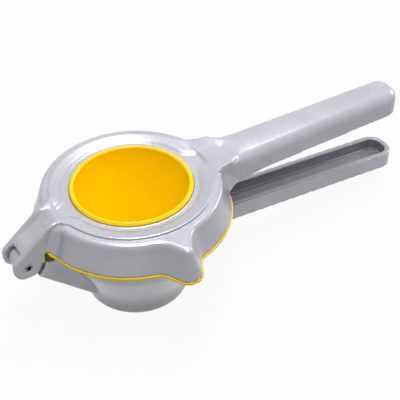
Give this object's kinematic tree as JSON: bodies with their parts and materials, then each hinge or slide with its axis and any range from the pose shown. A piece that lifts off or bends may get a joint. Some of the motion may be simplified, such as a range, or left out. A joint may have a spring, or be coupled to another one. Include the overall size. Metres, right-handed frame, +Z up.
{
  "type": "citrus_squeezer",
  "caption": "Hand-held lemon squeezer with two cast levers on a pin hinge: a round press cup on a flat foot, a tray with a pouring beak, and a yellow pressing insert.",
  "frame": {"origin": "centre of the cup's flat foot, on the table", "axes": "+X along the two handles away from the hinge, -Y towards the pouring beak, +Z up out of the dish"},
  "size_m": [0.2189, 0.1064, 0.0622],
  "materials": {
    "cast_silver": "metallic silver lacquer, satin",
    "yellow_plastic": "glossy",
    "pin_steel": "plain"
  },
  "bodies": {
    "cup": {"cup_lever": "cast_silver"},
    "tray": {"tray_lever": "cast_silver", "press_insert": "yellow_plastic", "hinge_pin": "pin_steel"}
  },
  "joints": [
    {"name": "hinge", "type": "hinge", "parent": "cup", "child": "tray", "pos_m": [-0.0573, 0, 0.042], "axis": [0, -1, 0], "range_deg": [0, 110]}
  ]
}
